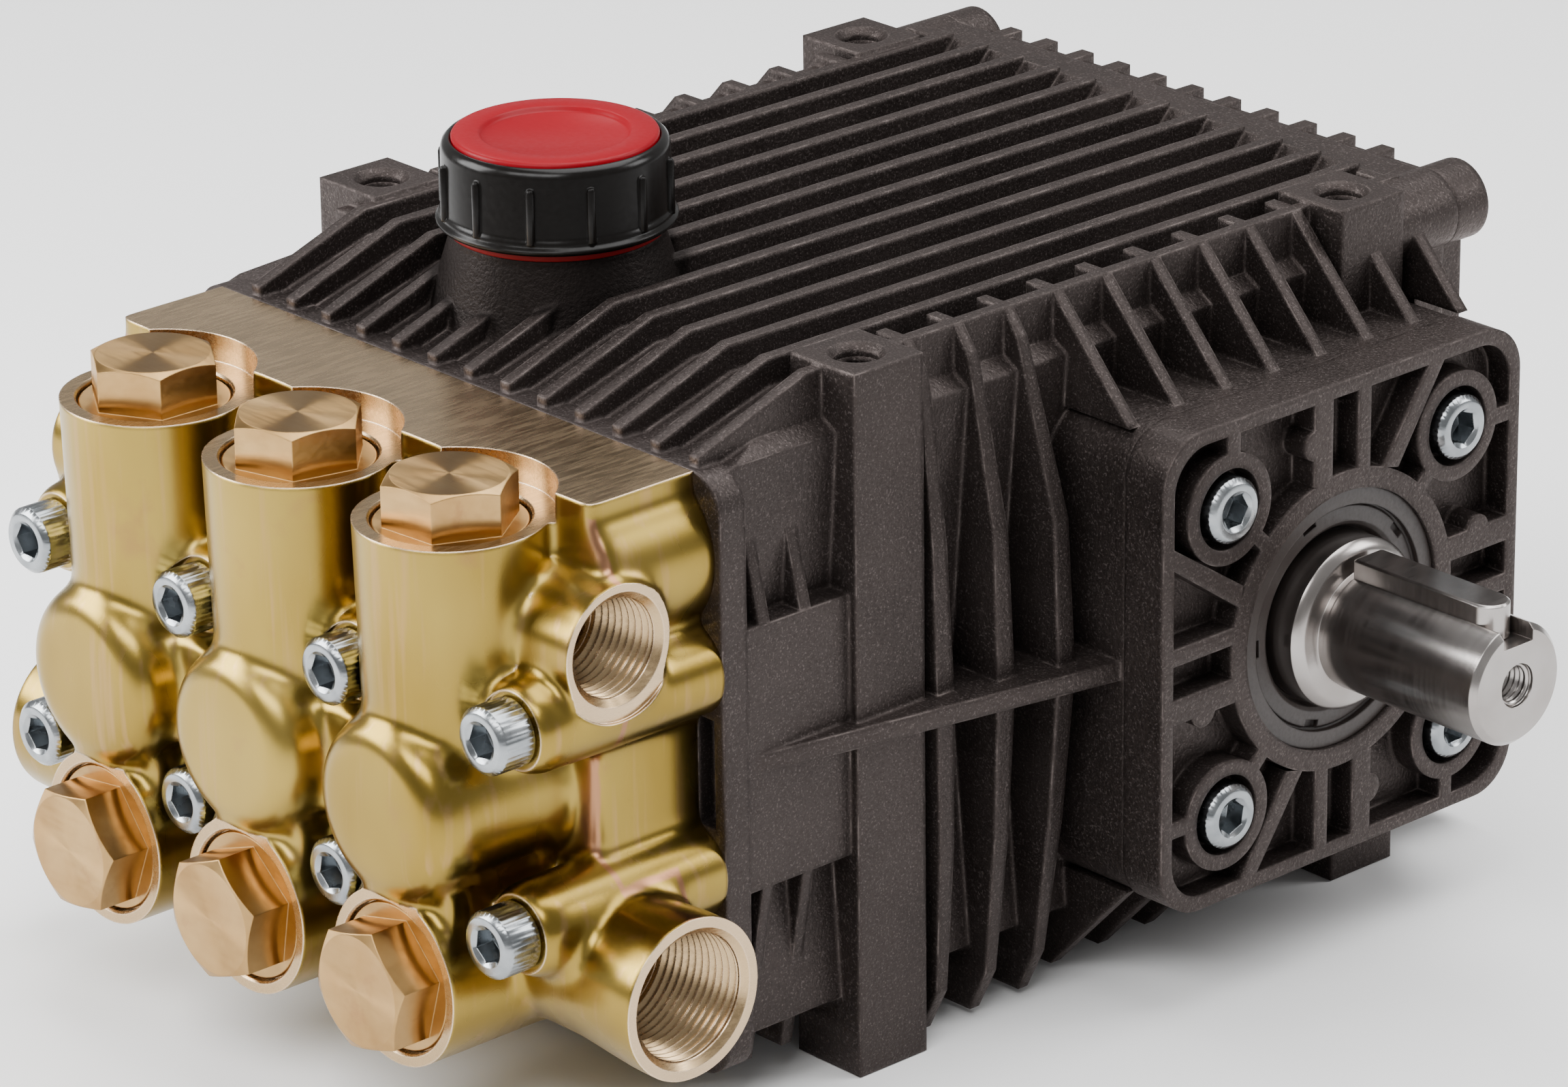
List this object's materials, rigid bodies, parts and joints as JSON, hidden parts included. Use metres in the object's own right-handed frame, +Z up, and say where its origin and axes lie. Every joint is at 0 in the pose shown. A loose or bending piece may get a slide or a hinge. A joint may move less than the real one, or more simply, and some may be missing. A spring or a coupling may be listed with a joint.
{
  "type": "plunger pump",
  "caption": "Horizontal plunger pump with a ribbed cast crankcase, brass valve head and keyed drive shaft.",
  "frame": {"origin": "centre of the four foot holes, on the plane that the feet stand on", "axes": "+Z up, +X along the crankshaft towards its driven end, +Y from the valve head to the rear cover"},
  "size_m": [0.2488, 0.2706, 0.1636],
  "materials": {
    "cast_case": "satin",
    "cast_cover": "satin",
    "forged_brass": "satin",
    "turned_brass": "bright",
    "zinc_screw": "satin",
    "ground_steel": "bright",
    "black_rubber": "matte",
    "red_rubber": "matte",
    "black_plastic": "gloss",
    "red_plastic": "gloss",
    "clear_glass": "gloss"
  },
  "bodies": {
    "pump": {"closed_cover": "cast_cover", "closed_cover_screw_front_high": "zinc_screw", "closed_cover_screw_front_low": "zinc_screw", "closed_cover_screw_rear_high": "zinc_screw", "closed_cover_screw_rear_low": "zinc_screw", "crankcase": "cast_case", "discharge_plug_1": "turned_brass", "discharge_plug_2": "turned_brass", "discharge_plug_3": "turned_brass", "drain_plug": "turned_brass", "drive_bearing": "ground_steel", "drive_cover": "cast_cover", "drive_cover_screw_front_high": "zinc_screw", "drive_cover_screw_front_low": "zinc_screw", "drive_cover_screw_rear_high": "zinc_screw", "drive_cover_screw_rear_low": "zinc_screw", "filler_cap": "black_plastic", "filler_cap_disc": "red_plastic", "filler_gasket": "red_rubber", "manifold": "forged_brass", "manifold_screw_high_1": "zinc_screw", "manifold_screw_high_2": "zinc_screw", "manifold_screw_high_3": "zinc_screw", "manifold_screw_high_4": "zinc_screw", "manifold_screw_low_1": "zinc_screw", "manifold_screw_low_2": "zinc_screw", "manifold_screw_low_3": "zinc_screw", "manifold_screw_low_4": "zinc_screw", "rear_cover": "cast_case", "rear_cover_screw_left_high": "zinc_screw", "rear_cover_screw_left_low": "zinc_screw", "rear_cover_screw_right_high": "zinc_screw", "rear_cover_screw_right_low": "zinc_screw", "retaining_ring": "zinc_screw", "shaft_seal": "black_rubber", "sight_glass": "clear_glass", "sight_glass_ring": "turned_brass", "suction_plug_1": "turned_brass", "suction_plug_2": "turned_brass", "suction_plug_3": "turned_brass"},
    "crankshaft": {"crankshaft": "ground_steel", "shaft_key": "ground_steel"}
  },
  "joints": [
    {"name": "shaft_spin", "type": "hinge", "parent": "pump", "child": "crankshaft", "pos_m": [0.1, 0.0312, 0.07], "axis": [1, 0, 0], "continuous": true}
  ]
}
